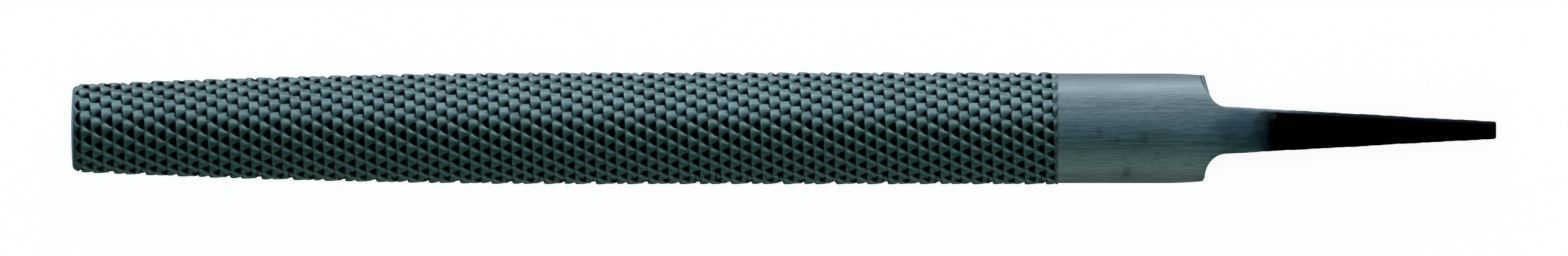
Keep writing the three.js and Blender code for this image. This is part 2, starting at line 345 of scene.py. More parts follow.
class ToothLattice:
    """Where the teeth of one side stand, and how each differs from the next."""

    def __init__(self, teeth, seed):
        self.teeth = teeth
        draw = np.random.default_rng(seed)
        self.columns = int((TOOTHED_LENGTH - teeth.first_column) / teeth.column_pitch) + 1
        self.rows = int(ARC_IN_HALF_WIDTHS * HALF_WIDTH / teeth.row_pitch) + SPARE_ROWS
        shape = (self.columns + 1, self.rows)
        self.along = draw.uniform(-1, 1, shape) * teeth.unevenness
        self.across = draw.uniform(-1, 1, shape) * teeth.unevenness
        self.height = 1 + draw.uniform(-1, 1, shape) * teeth.size_unevenness
        self.depth = 1 + draw.uniform(-1, 1, shape) * teeth.size_unevenness
        self.shine = draw.uniform(*CREST_SHINES, shape)

    def crest_at(self, column):
        """The distance of a column's crests from the tip, on the crown line and before it wanders."""
        return self.teeth.first_column + column * self.teeth.column_pitch

    def middle_at(self, column):
        """Where the tooth of a column that is nearest to the crown line has its middle."""
        half_row = self.teeth.row_pitch / 2
        dropped = self.teeth.row_offset - column * self.teeth.column_drop
        return (dropped + half_row) % self.teeth.row_pitch - half_row

    def tooth_at(self, column, across):
        """The numbers of the teeth of a column at places across it, and the places from their middles."""
        rows = np.round((across - self.middle_at(column)) / self.teeth.row_pitch)
        offset = across - self.middle_at(column) - rows * self.teeth.row_pitch
        return np.clip(rows + self.rows // 2, 0, self.rows - 1).astype(int), offset

    def shift(self, column, across):
        """How far the points of a column are moved along and across the blade, tooth by tooth."""
        if not 0 <= column < self.columns:
            return np.zeros((2, len(across)))
        row, offset = self.tooth_at(column, across)
        other = np.clip(row + np.where(offset > 0, 1, -1), 0, self.rows - 1)
        blend = np.abs(offset) / self.teeth.row_pitch
        moved = np.array([mixed(moves[column, row], moves[column, other], blend)
                          for moves in (self.along, self.across)])
        moved[0] += self.teeth.crest_bow * mixed(LOW_BOW_SHARE, 1, highness(across)) * (2 * blend) ** 2
        return moved

    def wander(self, along, across):
        """How far the points of a line are moved along and across the blade, with the whole lattice."""
        moved = (np.interp(along, WANDER_AT, COLUMN_WANDER) - self.teeth.column_slant * across
                 + self.teeth.column_bow * (across / HALF_WIDTH) ** 2)
        spread = (np.interp(along, WANDER_AT, ROW_SPREAD) * np.clip(across / SPREAD_REACH, -1, 1)
                  + np.interp(along, WANDER_AT, ROW_WANDER))
        return np.array([moved, spread])

    def freedom(self, column, along, part):
        """How freely a line of points may leave its place: not at all at the end of the tip and at the
        heel, and wholly between the first and the last column."""
        if column < 0:
            first_foot = self.teeth.first_column - self.teeth.lean
            return min(1, along / first_foot) if part > TIP_HELD_SHARE else 0
        if column == self.columns - 1:
            return min(1, (TOOTHED_LENGTH - along) / self.teeth.column_pitch)
        return 1


def arch(offset, half_width, power):
    """1 over the middle, falling to 0 at half_width."""
    return np.cos(np.clip(np.abs(offset) / half_width, 0, 1) * np.pi / 2) ** power


def soft_least(first, second, rounding):
    """The lesser of two values, rounded where they meet."""
    return -rounding * np.logaddexp(-first / rounding, -second / rounding)


# Towards +Y, within this distance of the crown line, the pits turn into wedges and the crests grow to
# their full bow and width. On the other side they have these shares of them
WEDGE_REACH = 3 * MM
LOW_BOW_SHARE = 0.3
LOW_WIDTH_SHARE = 0.86
# Shape of a tooth's dome: a lower power makes it fuller, the second one at its end towards +Y. It drifts
# towards +Y by a share of a row in each column
DOME_POWER = 0.55
UPPER_END_POWER = 1.6
DOME_DRIFT_SHARE = 0.08
# The band behind a crest, partly rubbed bare and partly a painted highlight: its length, how it fades
# to the crest's ends, and what is left of it towards -Y
CREST_LENGTH = 0.55 * MM
CREST_POWER = 2
LOW_CREST_SHARE = 0.35
# A painted highlight on the ground between the ends of two crests: how far it reaches to each side and
# behind them, and how bright it is
GAP_WIDTH = 0.6 * MM
GAP_LENGTH = 1.3 * MM
GAP_SHINE = 0.1
# A painted highlight along the ridge between two rows of teeth, which runs on slanting from column to
# column
RIDGE_WIDTH = 0.42 * MM
RIDGE_SHINE = 1.0
# A face: the slope of its upper part, which leans back, and how black its painted shade is
FACE_SLOPE = 0.8
FACE_SHADE = 0.62
# A pit's outline: 1 makes it pointed and 2 an oval
PIT_FORM = 1.38
# The upper side of a wedge: 1 makes it straight, and more hollows it. Its slant, as a cosine
WEDGE_FORM = 1.4
WEDGE_SLANT = 0.8
# A pit's walls change from one side's to the other's over this distance, round its middle. Then how
# softly the walls meet the floor
SIDE_BLEND = 0.7 * MM
PIT_ROUNDING = 0.06 * MM
# The painted shade of a pit starts outside it and deepens over a distance, in a hollow and in a wedge.
# In a wedge it stays a little short of full
SHADE_START = 0.2 * MM
SHADE_FADE = 0.5 * MM
WEDGE_SHADE_START = 0.12 * MM
WEDGE_SHADE_FADE = 0.22 * MM
WEDGE_SHADE_SHARE = 0.95
# Painted shade on the ground outside the wall towards +Y: how black, how far, and from where before
# the face
UPPER_SHADE = 0.4
UPPER_FADE = 0.7 * MM
UPPER_START = 0.8 * MM
# A painted highlight on the rim outside the wall of a hollow towards -Y: its middle, its width, and
# what is left of it further to -Y
RIM_PLACE = 0.32 * MM
RIM_WIDTH = 0.3 * MM
LOW_RIM_SHARE = 0.35
# Towards -Y the pits grow narrower, by a share of their width, over a distance from the crown line
LOW_PIT_SHARE = 0.14
LOW_PIT_REACH = 5 * MM
# The wedges turn back into hollows this near to the blade's edge
WEDGE_OPENING = 2.5 * MM
# The first pits reach this share of the way to the tip. They nearly touch in the middle of the tip, and
# grow narrow over a distance that ends this far from the crown line
TIP_PIT_SHARE = 0.5
TIP_PIT_WIDTH = 1.5 * MM
TIP_PIT_LEAST = 0.7 * MM
TIP_PITS_REACH = 6 * MM
TIP_PITS_FADE = 1.5 * MM
# At the very edge of the blade teeth have these shares of their height, on the round and the flat side.
# Over this distance they would grow from nothing to full, and the pits of the flat side do
EDGE_HEIGHT_SHARE = 0.5
FLAT_EDGE_HEIGHT_SHARE = 0.2
EDGE_REACH = 1.5 * MM
# The pits of the round side are no deeper than this at its edge, and than so much more per distance
EDGE_DEPTH = 0.5 * MM
EDGE_DEPTH_GROWTH = 1.0
# The swelling has this share of its height at the very edge, and this is how far it would take to grow
# from nothing to full
SWELL_EDGE_SHARE = 0.3
SWELL_REACH = 5 * MM


def highness(across):
    """0 up to the crown line, growing to 1 on the +Y side, where the pits are wedges."""
    return np.clip(across / WEDGE_REACH, 0, 1)


def tooth_height(lattice, column, behind, across):
    """The height of a column's domes, and the crest wear and painted highlights at each place, at one
    distance behind the crests."""
    teeth = lattice.teeth
    row, offset = lattice.tooth_at(column, across)
    high = highness(across)
    width = teeth.width * mixed(LOW_WIDTH_SHARE, 1, high)
    drift = behind / teeth.column_pitch * DOME_DRIFT_SHARE * teeth.row_pitch
    fullness = 1 - ((offset - drift) / width) ** 2 - (behind / teeth.back_length) ** 2
    power = mixed(DOME_POWER, UPPER_END_POWER, high * np.clip(offset / teeth.width, 0, 1))
    height = teeth.height * lattice.height[column, row] * np.clip(fullness, 0, None) ** power
    # The crest's band is partly worn steel and partly a painted highlight; the gap and the ridge are
    # painted highlights
    crest = max(0, 1 - behind / CREST_LENGTH) * arch(offset, width, CREST_POWER)
    crest = crest * lattice.shine[column, row] * mixed(LOW_CREST_SHARE, 1, high)
    half_row = teeth.row_pitch / 2
    between = np.clip(1 - (half_row - np.abs(offset)) / GAP_WIDTH, 0, 1)
    gap = GAP_SHINE * max(0, 1 - behind / GAP_LENGTH) * between * (1 - high)
    slanted = offset + behind / teeth.column_pitch * teeth.column_drop
    from_ridge = np.abs(slanted % teeth.row_pitch - half_row)
    ridge = RIDGE_SHINE * np.clip(1 - from_ridge / RIDGE_WIDTH, 0, 1) * (1 - high)
    return height, np.maximum(np.maximum(crest, gap), ridge)


def wall(inside, radius, slope):
    """The depth of a pit's wall, which turns down round its edge until it has a slope."""
    inside = np.clip(inside, 0, None)
    bend = radius * slope
    return np.where(inside < bend, inside ** 2 / (2 * radius), slope * (inside - bend / 2))


def pit_shape(lattice, column, before, across, to_edge, reach, half_width):
    """The depth, the painted shade and the painted highlight on the rim of a column's pits, at a distance
    before the feet of their faces. A pit is a rounded hollow towards -Y, and a flat-bottomed wedge towards
    +Y."""
    teeth = lattice.teeth
    row, offset = lattice.tooth_at(column, across)
    high = highness(across) * np.clip(to_edge / WEDGE_OPENING, 0, 1) * (column > 0)
    outwards = ((before / reach) ** PIT_FORM + np.abs(offset / half_width) ** PIT_FORM) ** (1 / PIT_FORM)
    above_floor = offset + teeth.wedge_floor
    wedge_top = teeth.wedge_rise * np.clip(1 - before / teeth.wedge_length, 0, 1) ** WEDGE_FORM
    wedge = soft_least((wedge_top - above_floor) * WEDGE_SLANT, above_floor, PIT_ROUNDING)
    inside = mixed((1 - outwards) * reach, wedge, high)
    upper = np.clip(HALF_WAY + offset / SIDE_BLEND, 0, 1)
    ease = mixed(teeth.lower_ease, teeth.upper_ease, upper)
    radius = mixed(teeth.lower_round, teeth.upper_round, upper)
    depth = soft_least(wall(inside + ease, radius, teeth.wall_slope), teeth.pit_depth, PIT_ROUNDING)
    # Painted shade in the pit, starting a little outside it
    painted_shade = np.clip((inside + mixed(SHADE_START, WEDGE_SHADE_START, high))
                   / mixed(SHADE_FADE, WEDGE_SHADE_FADE, high), 0, mixed(1, WEDGE_SHADE_SHARE, high))
    # Painted shade on the ground outside the wall towards +Y
    shade = (UPPER_SHADE * min(1, before / UPPER_START) * np.clip(1 + inside / UPPER_FADE, 0, 1)
             * upper * (1 - high))
    # A painted highlight on the rim outside the wall towards -Y
    rim = (np.clip(1 - np.abs(inside + RIM_PLACE) / RIM_WIDTH, 0, 1) * (1 - upper) * (1 - high)
           * mixed(LOW_RIM_SHARE, 1, np.clip(1 + across / LOW_PIT_REACH, 0, 1)))
    return np.clip(depth, 0, None) * lattice.depth[column, row], np.maximum(painted_shade, shade), rim


def pit_half_width(teeth, column, across):
    """Half the width of the pits before a column's faces, where they are hollows."""
    if column > 0:
        return teeth.pit_width * (1 - LOW_PIT_SHARE * np.clip(-across / LOW_PIT_REACH, 0, 1))
    middle = np.clip(TIP_PITS_REACH - np.abs(across), 0, TIP_PITS_FADE) / TIP_PITS_FADE
    return mixed(TIP_PIT_LEAST, TIP_PIT_WIDTH, middle)


def tooth_relief(lattice, column, behind, span, across, to_edge, is_round):
    """Heights above the blank, at one distance behind the crests of a column, out of a span that ends
    at the foot of the next faces. Also the painted shade at each place, and its crest wear and painted
    highlights."""
    teeth = lattice.teeth
    is_last = column + 1 == lattice.columns
    height, bright, depth, painted_shade = np.zeros((4, len(across)))
    if column >= 0:
        height, bright = tooth_height(lattice, column, behind, across)
    if is_last:
        # The last backs run out as half domes
        _, offset = lattice.tooth_at(column, across)
        height = height * np.sqrt(np.clip(1 - (offset / teeth.width) ** 2 - (behind / span) ** 2, 0, 1))
    else:
        reach = teeth.pit_length if column >= 0 else TIP_PIT_SHARE * span
        depth, painted_shade, rim = pit_shape(lattice, column + 1, span - behind, across, to_edge, reach,
                                     pit_half_width(teeth, column + 1, across))
        # The rim's painted highlight joins the crest's wear and highlights
        bright = np.maximum(bright, rim)
    if is_round:
        # Behind the last column the swelling between the teeth dies away too
        swell = teeth.swell * (1 - behind / span if is_last else 1)
        height = height * np.clip(EDGE_HEIGHT_SHARE + to_edge / EDGE_REACH, 0, 1)
        height = height + swell * np.clip(SWELL_EDGE_SHARE + to_edge / SWELL_REACH, 0, 1)
        depth = np.minimum(depth, EDGE_DEPTH + to_edge * EDGE_DEPTH_GROWTH)
    else:
        height = height * np.clip(FLAT_EDGE_HEIGHT_SHARE + to_edge / EDGE_REACH, 0, 1)
        depth = depth * np.clip(to_edge / EDGE_REACH, 0, 1)
    if column < 0:
        height = height * behind / span
    return height - depth, painted_shade, bright


def places_across(reach, spacing, phase):
    """Places from one edge of the blade to the other, evenly spaced and held to the teeth by a phase."""
    inner = np.arange(-reach // spacing, reach // spacing + 1) * spacing + phase
    inner = inner[np.abs(inner) < reach - EDGE_CLEARANCE_SHARE * spacing]
    return np.concatenate([[-reach], inner, [reach]])


def face_lines(lattice, column, foot_height, span, across, to_edge):
    """Yields the lines of points that climb a column's faces from their feet, on the round side: how far
    up each is, heights above the blank, and the two values for the material."""
    teeth = lattice.teeth
    # A steep step leads out of the pit, and the face leans back above it
    above, _, shine = tooth_relief(lattice, column, 0, span, across, to_edge, True)
    _, offset = lattice.tooth_at(column, across)
    lit = highness(across) * np.clip(offset / teeth.width, 0, 1)
    # The ridge between two rows crosses the face where it is nearly level
    on_tooth = np.clip((teeth.row_pitch / 2 - np.abs(offset)) / GAP_WIDTH, 0, 1)
    # Painted shade on the faces, less where a face is turned to the light towards +Y
    painted_shade = (FACE_SHADE * (1 - lit) * on_tooth
            * np.clip(above - foot_height, 0, teeth.height) / teeth.height)
    for up in FACE_LINE_SHARES:
        face = np.maximum(mixed(foot_height, above, up), above - (1 - up) * teeth.lean * FACE_SLOPE)
        yield up, face, painted_shade, shine * (1 - on_tooth)


def side_lines(lattice, line_shares, samples_per_row, reach_at, is_round):
    """Yields the lines of points of one toothed side, from the tip to the heel: distances from the tip,
    places across, heights above the blank, and the two values for the material."""
    teeth = lattice.teeth
    spacing = teeth.row_pitch / samples_per_row
    last_column = lattice.columns - 1
    for column in range(-1, lattice.columns):
        is_last = column == last_column
        crest = lattice.crest_at(column) if column >= 0 else 0
        foot = TOOTHED_LENGTH if is_last else lattice.crest_at(column + 1) - teeth.lean
        span = foot - crest
        for part in (line_shares if column >= 0 else TIP_LINE_SHARES):
            along = crest + part * span
            reach = reach_at(along)
            nearest = column if part < HALF_WAY and column >= 0 else min(column + 1, last_column)
            across = places_across(reach, spacing, lattice.middle_at(nearest) % spacing)
            to_edge = reach - np.abs(across)
            height, painted_shade, bright = tooth_relief(lattice, column, part * span, span, across, to_edge,
                                                is_round)
            if is_last and part == 1:
                height, painted_shade, bright = np.zeros((3, len(across)))
            shift = mixed(lattice.shift(column, across), lattice.shift(column + 1, across), part)
            move = (shift + lattice.wander(along, across)) * lattice.freedom(column, along, part)
            placed = across + move[1] * np.clip(to_edge / ROW_FADE, 0, 1)
            yield along + move[0], placed, height, painted_shade, bright
            if part == 1 and not is_last and is_round:
                for up, *values in face_lines(lattice, column + 1, height, span, across, to_edge):
                    yield along + move[0] + up * teeth.lean, placed, *values


# The tip's end is bowed by this power of the way out to its corners. The corners are rounded over the
# last share of that way, with places past the corner drawn in no more than the last number says
TIP_BOW_POWER = 2.2
TIP_CORNER_SHARE = 0.12
TIP_CORNER_MOST = 1.2
# The bow dies out this far from the tip
TIP_BOW_REACH = 2 * MM
# Points of the flat side this near to its edges follow the notched edge of the round side
EDGE_FOLLOWING = 1.2 * MM


def bowed(blank, along, across):
    """The distances from the tip's middle, with the end drawn in towards its corners."""
    share_out = np.abs(across) / (blank.tip_width / 2)
    corner = np.clip((share_out - (1 - TIP_CORNER_SHARE)) / TIP_CORNER_SHARE, 0, TIP_CORNER_MOST) ** 2
    bow = blank.tip_bow * share_out ** TIP_BOW_POWER + blank.tip_corner * corner
    return along + bow * np.clip(1 - along / TIP_BOW_REACH, 0, 1)


def round_side(shell, blank, teeth):
    """Adds the lines of points of the round side. Returns the numbers, X and Y of each line's points."""
    rows = []
    lines = side_lines(ToothLattice(teeth, teeth.seed), ROUND_LINE_SHARES, ROUND_SAMPLES_PER_ROW,
                       lambda place: section_at(place, blank)[3], True)
    for along, arc, height, painted_shade, crest in lines:
        _, radius, centre, _ = section_at(along, blank)
        if not rows:
            height = height - blank.tip_bevel
        across = (radius + height) * np.sin(arc / radius)
        x = TIP_X + bowed(blank, along, across)
        places = np.stack([x, across, centre + (radius + height) * np.cos(arc / radius)], axis=-1)
        rows.append((shell.line(places, painted_shade, crest), x, across))
    return rows


def flat_side(shell, blank, teeth, edges):
    """Adds the lines of points of the flat side, between the two edges of the round side. Returns the
    numbers, X and Y of each line's points."""
    rows = []
    lines = side_lines(ToothLattice(teeth, teeth.seed + 1), FLAT_LINE_SHARES, FLAT_SAMPLES_PER_ROW,
                       lambda place: section_at(place, blank)[0], False)
    for along, across, height, painted_shade, crest in lines:
        x = TIP_X + bowed(blank, along, across)
        reach = np.abs(across).max()
        for (_, edge_x, edge_y), sign in zip(edges, (-1, 1)):
            outer = np.clip((across * sign - reach + EDGE_FOLLOWING) / EDGE_FOLLOWING, 0, 1)
            across = across + outer * (np.interp(x, edge_x, edge_y) - sign * reach)
        # The teeth stand on the floor, and none reaches below it
        places = np.stack([x, across, FLAT_Z - np.minimum(height, FLAT_Z)], axis=-1)
        rows.append((shell.line(places, painted_shade, crest), x, across))
    return rows


def ends_of(rows, end):
    """The numbers, X and Y of the points at one end of all the lines of a side."""
    return [np.array([row[part][end] for row in rows]) for part in range(3)]


def build_toothed_blade(settings, material):
    """The blade with its teeth, both sides, from the tip to the heel."""
    shell = Shell()
    upper = round_side(shell, settings.blank, settings.teeth)
    edges = [ends_of(upper, end) for end in (0, -1)]
    lower = flat_side(shell, settings.blank, settings.teeth, edges)
    for rows, turned in ((upper, False), (lower, True)):
        for (ids, _, across), (next_ids, _, next_across) in zip(rows[:-1], rows[1:]):
            shell.band(ids, across, next_ids, next_across, turned)
    for end, turned in ((0, True), (-1, False)):
        # One end face of the blade, and then its edge land on one side
        shell.band(upper[end][0], upper[end][2], lower[end][0], lower[end][2], turned)
        ids, x, _ = ends_of(lower, end)
        shell.band(ids, x, edges[end][0], edges[end][1], turned)
    shell.piece("toothed_blade_steel", "toothed_blade", "toothed_steel", material, ("painted_shade", "crest"))


def distance_to_outline(x, y, outline):
    """The distance of each place to a line of points, seen from above."""
    nearest = np.full(x.shape, np.inf)
    for (ax, ay), (bx, by) in zip(outline[:-1], outline[1:]):
        run = np.array([bx - ax, by - ay])
        t = np.clip(((x - ax) * run[0] + (y - ay) * run[1]) / (run @ run), 0, 1)
        nearest = np.minimum(nearest, np.hypot(x - ax - t * run[0], y - ay - t * run[1]))
    return nearest


# Where lines of points run beside the edge of a bar, as shares of its rounding, and the fewest strips
# between them
EDGE_SHARES = (0.0, 0.08, 0.25, 0.5, 0.78, 1.1, 1.8)
LEAST_STRIPS = 6
# The lower edges are rounded by this share of the upper ones' rounding
UNDER_ROUNDING_SHARE = 0.4
# The value that marks the far edge for the material fades over this many roundings
FAR_EDGE_ROUNDINGS = 3


def build_bar(shell, stations, near, far, end_line, crown_at, base_at, rounding, strip, wander=None,
              bevel_at=None):
    """A closed bar under a crowned top, whose sides follow two outlines seen from above. end_line adds
    to the outlines that the top is rounded towards. wander moves the points, once the rounding is
    known. bevel_at gives the bevel's value at each place, and how deep the bevel cuts there."""
    edge = np.array(EDGE_SHARES) * rounding
    low, high = np.interp(stations, *near.T), np.interp(stations, *far.T)
    inner = np.linspace(0, 1, max(LEAST_STRIPS, int(np.max(high - low) / strip)) + 1)
    rows = []
    for bottom, top in zip(low, high):
        # The lines beside the two edges take no more than half of a narrow bar
        squeeze = min(1, (top - bottom) / 2 / (2 * edge[-1]))
        first, last = bottom + edge * squeeze, top - edge[::-1] * squeeze
        rows.append(np.concatenate([first, mixed(first[-1], last[0], inner[1:-1]), last]))
    y = np.array(rows)
    x = np.broadcast_to(stations[:, None], y.shape)
    outlines = [near, far] + ([end_line] if end_line is not None else [])
    distance = np.min([distance_to_outline(x, y, line) for line in outlines], axis=0)
    inside = np.clip(distance, 0, rounding)
    drop = rounding - np.sqrt(rounding ** 2 - (rounding - inside) ** 2)
    x, y = (x, y) if wander is None else wander(x, y)
    bevel, cut = bevel_at(x, y) if bevel_at else (np.zeros(x.shape), 0)
    top = np.stack([x, y, crown_at(x, y) - drop - cut], axis=-1)
    bottom = np.stack([x, y, base_at(x) + drop * UNDER_ROUNDING_SHARE], axis=-1)
    from_far = np.interp(x, *far.T) - y
    far_edge = np.clip(1 - from_far / (FAR_EDGE_ROUNDINGS * rounding), 0, 1)
    upper = np.array([shell.line(*values) for values in zip(top, far_edge, bevel)])
    lower = np.array([shell.line(*values) for values in zip(bottom, far_edge)])
    across = np.arange(y.shape[1])
    for grid, turned in ((upper, False), (lower, True)):
        for ids, next_ids in zip(grid[:-1], grid[1:]):
            shell.band(ids, across, next_ids, across, turned)
    for end, turned in ((0, True), (-1, False)):
        shell.band(upper[end], across, lower[end], across, turned)
        shell.band(lower[:, end], stations, upper[:, end], stations, turned)


def crown_height(y, blank):
    """Height of the round side over the heel and the root of the tang."""
    _, radius, centre, _ = section_at(TOOTHED_LENGTH, blank)
    return centre + np.sqrt(radius ** 2 - y ** 2)


# The heel's outlines: points of a fillet, points of an eased side, and the share of it that they cover
FILLET_POINTS = 24
EASE_POINTS = 8
EASE_COVERED_SHARE = 0.95
# The near shoulder's face leans towards the tang by this much
NEAR_LEAN = 0.03 * MM
# Spacing of the heel's lines along the rasp, and finer from a little before the shoulder to a little
# after it. The width of a strip between two points of a line
HEEL_SPACING = 0.6 * MM
SHOULDER_SPACING = 0.06 * MM
SHOULDER_BEFORE = 1 * MM
SHOULDER_AFTER = 1.6 * MM
HEEL_STRIP = 0.3 * MM
# Stations along the rasp are told apart to this many decimals of a metre
STATION_DECIMALS = 7
# The far shoulder's bevel never grows narrower than this share of its width
LEAST_BEVEL_SHARE = 0.01


def fillet(reach_along, root_y, reach_across, turns):
    """The points, at the given turns, of a quarter of an oval that ends at the tang's root."""
    return [(TANG_X - reach_along * np.cos(a), root_y + reach_across * (1 - np.sin(a))) for a in turns]


def build_heel(settings, material):
    """The bare heel, from the teeth round both shoulders to the tang."""
    blank, heel = settings.blank, settings.heel
    shoulder = TANG_X - heel.shoulder_length
    eased = HALF_WIDTH - heel.ease
    ease_start = shoulder - heel.ease_length
    turns = np.linspace(0, 1, FILLET_POINTS)
    ease = [(ease_start + t * heel.ease_length * EASE_COVERED_SHARE, HALF_WIDTH - heel.ease * t ** 2)
            for t in np.linspace(0, 1, EASE_POINTS)[:-1]]
    near = np.array([(HEEL_X, -HALF_WIDTH)] + [(x, -y) for x, y in ease]
                    + [(shoulder - heel.near_corner, -eased)]
                    + [(shoulder - NEAR_LEAN, -eased + heel.near_depth)]
                    + fillet(heel.shoulder_length, TANG_LOW[1], -heel.near_fillet, turns * np.pi / 2))
    slant_start = (shoulder - heel.far_corner, eased)
    far_curve = fillet(heel.far_length, TANG_HIGH[1], heel.far_fillet,
                       mixed(heel.far_turn, np.pi / 2, turns))
    far = np.array([(HEEL_X, HALF_WIDTH)] + ease + [slant_start] + far_curve)
    stations = np.unique(np.round(np.concatenate([
        np.arange(HEEL_X, shoulder - SHOULDER_BEFORE, HEEL_SPACING), near[:, 0], far[:, 0],
        np.arange(shoulder - SHOULDER_BEFORE, shoulder + SHOULDER_AFTER, SHOULDER_SPACING)]),
        STATION_DECIMALS))

    def bevel_at(x, y):
        """The bevel on the far shoulder's slanted edge: 0 at its inner side and 1 at the edge."""
        (start_x, start_y), (end_x, end_y) = slant_start, far_curve[0]
        down = (start_y - y) / (start_y - end_y)
        width = heel.far_bevel * np.sqrt(np.clip(1 - down ** 2, LEAST_BEVEL_SHARE ** 2, 1))
        edge = mixed(start_x, end_x, np.clip(down, 0, 1))
        value = np.clip(1 - (edge - x) / width, 0, 1) * (down < 1)
        return value, value * width * heel.bevel_slope

    shell = Shell()
    build_bar(shell, stations, near, far, None, lambda x, y: crown_height(y, blank),
              lambda x: np.full(x.shape, FLAT_Z), heel.rounding, HEEL_STRIP, bevel_at=bevel_at)
    shell.piece("ground_heel", "heel", "ground_steel", material, ("far_edge", "bevel"))


# Lengths of the waves in the tang's forged sides, by what their sum is divided, and the share of the
# tang over which they grow
NEAR_WAVES = (27 * MM, 13 * MM, 6.1 * MM, 2.7 * MM)
FAR_WAVES = (31 * MM, 17 * MM, 7.3 * MM, 3.1 * MM)
WAVE_DIVISOR = 3
WAVE_GROWTH_SHARE = 0.125
# The burr is full up to the first distance from the middle of the end and gone at the second
BURR_FULL = 0.27 * MM
BURR_GONE = 0.72 * MM
# Spacing of the tang's lines along the rasp, and the places of the last ones before its end
TANG_SPACING = 0.5 * MM
END_STATIONS = np.array([0.8, 0.6, 0.45, 0.3, 0.2, 0.12, 0.06, 0.02, 0.0]) * MM
TANG_STRIP = 0.35 * MM


def build_tang(settings, material):
    """The tang, from the fillets of the shoulders to its end."""
    blank, tang = settings.blank, settings.tang
    near_root, far_root = TANG_LOW[1], TANG_HIGH[1]
    middle = (near_root + far_root) / 2
    half_end = tang.end_width / 2
    near, far = (np.array([(TANG_X, root), (END_X - tang.end_corner, middle + sign * half_end),
                           (END_X, middle + sign * (half_end - tang.end_corner))])
                 for root, sign in ((near_root, -1), (far_root, 1)))
    end_line = np.array([(END_X, middle - half_end), (END_X, middle + half_end)])
    draw = np.random.default_rng(tang.seed)
    far_phases, near_phases = draw.uniform(0, 2 * np.pi, (2, len(FAR_WAVES)))

    def share_of(x):
        return np.clip((x - TANG_X) / (END_X - TANG_X), 0, 1)

    def crown_at(x, y):
        return crown_height(y, blank) - (THICKNESS - tang.end_thickness - tang.end_rise) * share_of(x)

    def base_at(x):
        return FLAT_Z + tang.end_rise * share_of(x)

    def waves(x, wave_lengths, phases):
        return sum(np.sin(x / wave * 2 * np.pi + phase)
                   for wave, phase in zip(wave_lengths, phases)) / WAVE_DIVISOR

    def wander(x, y):
        """The forged sides aren't quite straight, and a burr stands out of the end."""
        grow = np.clip(share_of(x) / WAVE_GROWTH_SHARE, 0, 1) * tang.unevenness
        side = np.clip((y - middle) / half_end, -1, 1)
        moved = grow * np.abs(side) * np.where(side > 0, waves(x, FAR_WAVES, far_phases),
                                               waves(x, NEAR_WAVES, near_phases))
        stub = np.clip((BURR_GONE - np.abs(y - middle)) / (BURR_GONE - BURR_FULL), 0, 1)
        return x + tang.burr * stub * (x >= END_X), y + moved

    stations = np.unique(np.round(np.concatenate([
        np.arange(TANG_X, END_X - END_STATIONS[0], TANG_SPACING), END_X - END_STATIONS]),
        STATION_DECIMALS))
    shell = Shell()
    build_bar(shell, stations, near, far, end_line, crown_at, base_at, tang.rounding, TANG_STRIP, wander)
    shell.piece("forged_tang", "tang", "forge_scale", material, ("far_edge", "bevel"))


# Materials

# Noise varies round this value, and so does a ramp over noise
NOISE_MIDDLE = 0.5


def feed(tree, made, inputs):
    """Gives inputs of a node plain values or the outputs of other nodes."""
    for name, value in inputs.items():
        if isinstance(value, bpy.types.NodeSocket):
            tree.links.new(value, made.inputs[name])
        else:
            made.inputs[name].default_value = value


def node(tree, kind, inputs=None, **settings):
    """Adds a node with its settings and its inputs."""
    made = tree.nodes.new(kind)
    for name, value in settings.items():
        setattr(made, name, value)
    feed(tree, made, inputs or {})
    return made


def calculate(tree, operation, *values):
    """The output of a Math node."""
    return node(tree, "ShaderNodeMath", dict(enumerate(values)), operation=operation).outputs[0]


def blend_colours(tree, factor, first, second, **settings):
    """The colour between two colours."""
    # A Mix node's colour inputs have the numbers 6 and 7, and its colour output the number 2
    return node(tree, "ShaderNodeMix", {0: factor, 6: first, 7: second}, data_type="RGBA",
                **settings).outputs[2]


def map_value(tree, value, low, high, first=0.0, second=1.0, **settings):
    """A value brought from low..high to first..second."""
    return node(tree, "ShaderNodeMapRange", {0: value, 1: low, 2: high, 3: first, 4: second},
                **settings).outputs[0]


def ramp(tree, value, low, high):
    """A value brought from low..high to 0..1, smoothly."""
    return map_value(tree, value, low, high, interpolation_type="SMOOTHSTEP")


def own_place(tree):
    """Where a point lies on its piece, in metres."""
    return node(tree, "ShaderNodeTexCoord").outputs["Object"]


def axes(tree, place):
    """The X, Y and Z of a place or a direction."""
    return node(tree, "ShaderNodeSeparateXYZ", {0: place}).outputs


def noise(tree, scale, detail, roughness, stretch=(1, 1, 1)):
    """Noise over a piece. A greater scale makes it finer, and so does stretch along each axis."""
    mapping = node(tree, "ShaderNodeMapping", {"Vector": own_place(tree), "Scale": stretch})
    return node(tree, "ShaderNodeTexNoise",
                {"Vector": mapping.outputs[0], "Scale": scale, "Detail": detail,
                 "Roughness": roughness}).outputs["Fac"]


def bump(tree, height, strength, distance):
    """The normal that a fine relief gives."""
    return node(tree, "ShaderNodeBump", {"Strength": strength, "Distance": distance,
                                         "Height": height}).outputs[0]


SOCKETS = {"value": "NodeSocketFloat", "colour": "NodeSocketColor", "normal": "NodeSocketVector"}


def group_of(name, inputs, outputs):
    """A shader node group whose named sockets are of the given kinds. Returns the tree, the outputs of
    its input node and its output node."""
    tree = bpy.data.node_groups.new(name, "ShaderNodeTree")
    for direction, sockets in (("INPUT", inputs), ("OUTPUT", outputs)):
        for socket, kind in sockets.items():
            tree.interface.new_socket(name=socket, in_out=direction, socket_type=SOCKETS[kind])
    return tree, node(tree, "NodeGroupInput").outputs, node(tree, "NodeGroupOutput")


def use_group(tree, name, **values):
    """Places a node group, which is built once, with this use's own values. Returns its outputs."""
    group = bpy.data.node_groups.get(name) or GROUP_MAKERS[name]()
    inputs = {socket.replace("_", " ").title(): value for socket, value in values.items()}
    return node(tree, "ShaderNodeGroup", inputs, node_tree=group).outputs


